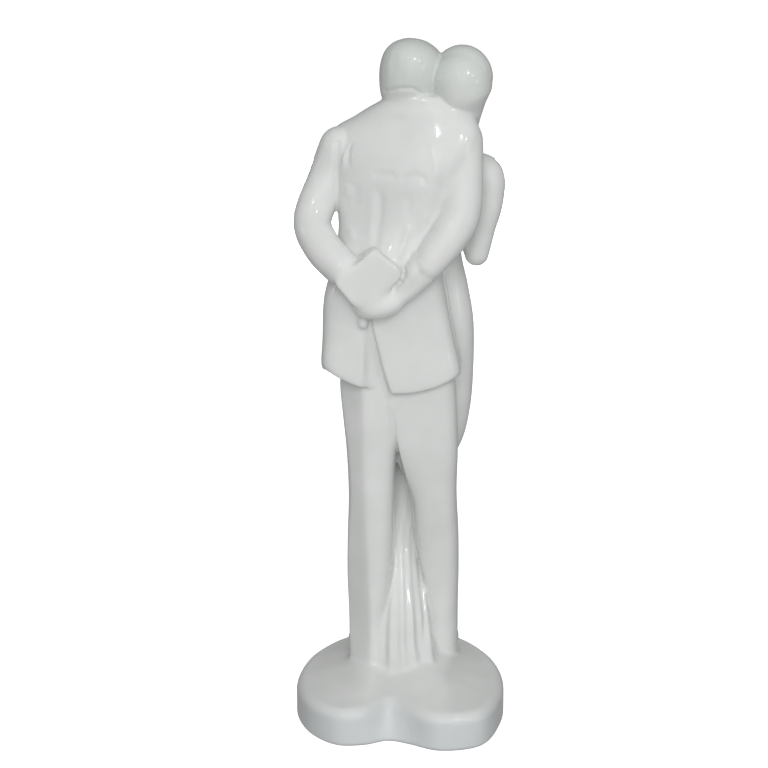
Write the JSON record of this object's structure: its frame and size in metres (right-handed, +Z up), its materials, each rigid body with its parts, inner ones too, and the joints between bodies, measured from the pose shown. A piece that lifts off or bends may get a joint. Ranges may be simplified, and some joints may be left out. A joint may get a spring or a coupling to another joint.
{
  "type": "couple figurine",
  "caption": "Glazed white china figurine of a man hiding a gift behind his back and a woman in a long gown, on a lobed base.",
  "frame": {"origin": "on the underside of the base, below the middle of the figures", "axes": "+Z up; the man's back, with the gift, looks to -Y; the woman's head is on his +X side"},
  "size_m": [0.0933, 0.1069, 0.302],
  "materials": {
    "white_glaze": "smooth white bone china under a clear, high-gloss glaze that pools a little darker in the creases"
  },
  "bodies": {
    "root": {"couple_figurine": "white_glaze"}
  },
  "joints": []
}
